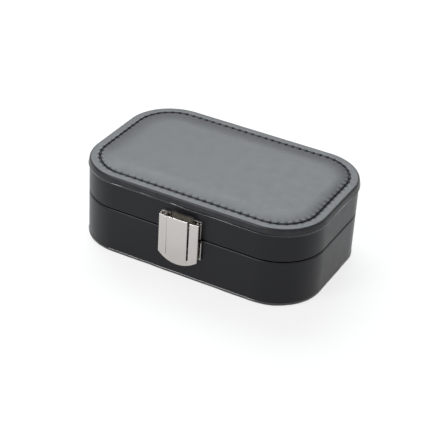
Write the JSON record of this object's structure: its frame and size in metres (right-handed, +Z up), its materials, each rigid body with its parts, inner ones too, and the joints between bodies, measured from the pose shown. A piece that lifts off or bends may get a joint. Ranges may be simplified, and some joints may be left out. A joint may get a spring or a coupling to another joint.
{
  "type": "cufflink case",
  "caption": "Leather-covered cufflink case with rounded corners, a padded hinged lid, velvet rolls and compartments inside, and a sprung press latch at the front.",
  "frame": {"origin": "on the table, under the middle of the case", "axes": "+X along the front towards the right as seen from the front, +Y from front to back, +Z up"},
  "size_m": [0.161, 0.1127, 0.0557],
  "materials": {
    "black_leather": "smooth black, satin sheen",
    "grey_board": "raw pressed board",
    "velvet": "short grey velvet pile",
    "foam": "open foam, never seen",
    "felt": "pressed felt",
    "satin_nickel": "satin nickel plate",
    "bright_steel": "bright drawn steel"
  },
  "bodies": {
    "base": {"underside_felt": "felt", "base_floor_board": "black_leather", "base_wall_board": "grey_board", "base_wall_cover": "black_leather", "base_lining": "velvet", "base_floor_lining": "velvet", "bay_divider": "velvet", "short_divider": "velvet", "cross_divider": "velvet", "latch_base_plate": "satin_nickel", "latch_pivot_pin": "bright_steel", "latch_spring": "bright_steel", "latch_base_nails": "bright_steel", "cushion_roll_1": "velvet", "cushion_roll_2": "velvet", "cushion_roll_3": "velvet", "cushion_roll_4": "velvet", "cushion_roll_5": "velvet", "hinge_left_base_leaf": "satin_nickel", "hinge_left_pin": "bright_steel", "hinge_right_base_leaf": "satin_nickel", "hinge_right_pin": "bright_steel"},
    "lid": {"lid_wall_board": "grey_board", "lid_wall_cover": "black_leather", "lid_lining": "velvet", "lid_top_board": "grey_board", "lid_border_board": "grey_board", "lid_pad_foam": "foam", "lid_top_cover": "black_leather", "lid_inner_pad": "velvet", "hinge_left_lid_leaf": "satin_nickel", "hinge_right_lid_leaf": "satin_nickel", "latch_strike_plate": "satin_nickel", "latch_strike_nails": "bright_steel"},
    "latch": {"latch_press_plate": "satin_nickel"}
  },
  "joints": [
    {"name": "lid_hinge", "type": "hinge", "parent": "base", "child": "lid", "pos_m": [0, 0.053, 0.0316], "axis": [-1, 0, 0], "range_deg": [0, 95]},
    {"name": "latch_press", "type": "hinge", "parent": "base", "child": "latch", "pos_m": [0, -0.05365, 0.024], "axis": [1, 0, 0], "range_deg": [0, 10], "stiffness_Nm_per_rad": 0.05, "springref_deg": -8.59, "deforming": ["latch_spring"]}
  ]
}
